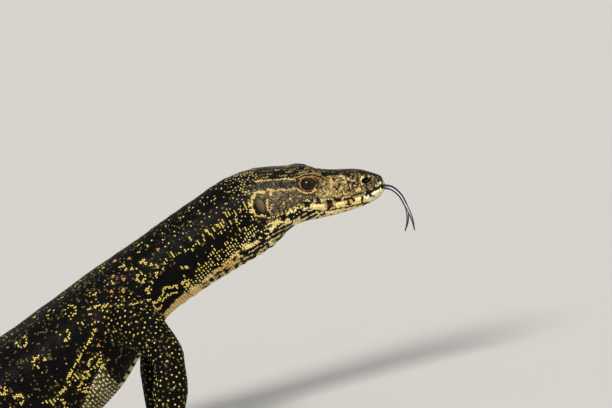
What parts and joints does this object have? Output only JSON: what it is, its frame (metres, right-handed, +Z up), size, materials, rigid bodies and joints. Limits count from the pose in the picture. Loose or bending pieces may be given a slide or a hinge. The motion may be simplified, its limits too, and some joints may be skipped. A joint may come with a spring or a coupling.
{
  "type": "water monitor lizard model",
  "caption": "Life-size still model of a water monitor lizard, up on its forelegs with head raised and forked tongue out, long tail on the floor behind it.",
  "frame": {"origin": "middle of the model's footprint, on the floor that its feet and tail rest on", "axes": "+X ahead, the way the animal faces; +Y to the animal's left; +Z up"},
  "size_m": [1.1724, 0.3058, 0.1748],
  "materials": {
    "hide": "black scaled hide with yellow spots, satin",
    "eye": "wet gloss, near-black brown with a thin golden ring",
    "eardrum": "thin smooth membrane, satin",
    "tongue": "wet gloss, blue-black",
    "claw": "horn, semi-gloss"
  },
  "bodies": {
    "root": {"belly_and_pelvis": "hide", "chest": "hide", "eardrum_left": "eardrum", "eardrum_right": "eardrum", "eye_left": "eye", "eye_right": "eye", "front_left_claw_1": "claw", "front_left_claw_2": "claw", "front_left_claw_3": "claw", "front_left_claw_4": "claw", "front_left_claw_5": "claw", "front_left_foot": "hide", "front_left_forearm": "hide", "front_left_upper_arm": "hide", "front_right_claw_1": "claw", "front_right_claw_2": "claw", "front_right_claw_3": "claw", "front_right_claw_4": "claw", "front_right_claw_5": "claw", "front_right_foot": "hide", "front_right_forearm": "hide", "front_right_upper_arm": "hide", "head": "hide", "hind_left_claw_1": "claw", "hind_left_claw_2": "claw", "hind_left_claw_3": "claw", "hind_left_claw_4": "claw", "hind_left_claw_5": "claw", "hind_left_foot": "hide", "hind_left_shin": "hide", "hind_left_thigh": "hide", "hind_right_claw_1": "claw", "hind_right_claw_2": "claw", "hind_right_claw_3": "claw", "hind_right_claw_4": "claw", "hind_right_claw_5": "claw", "hind_right_foot": "hide", "hind_right_shin": "hide", "hind_right_thigh": "hide", "lower_jaw": "hide", "neck": "hide", "tail_base": "hide", "tail_middle": "hide", "tail_rear": "hide", "tail_tip": "hide", "tongue": "tongue"}
  },
  "joints": []
}
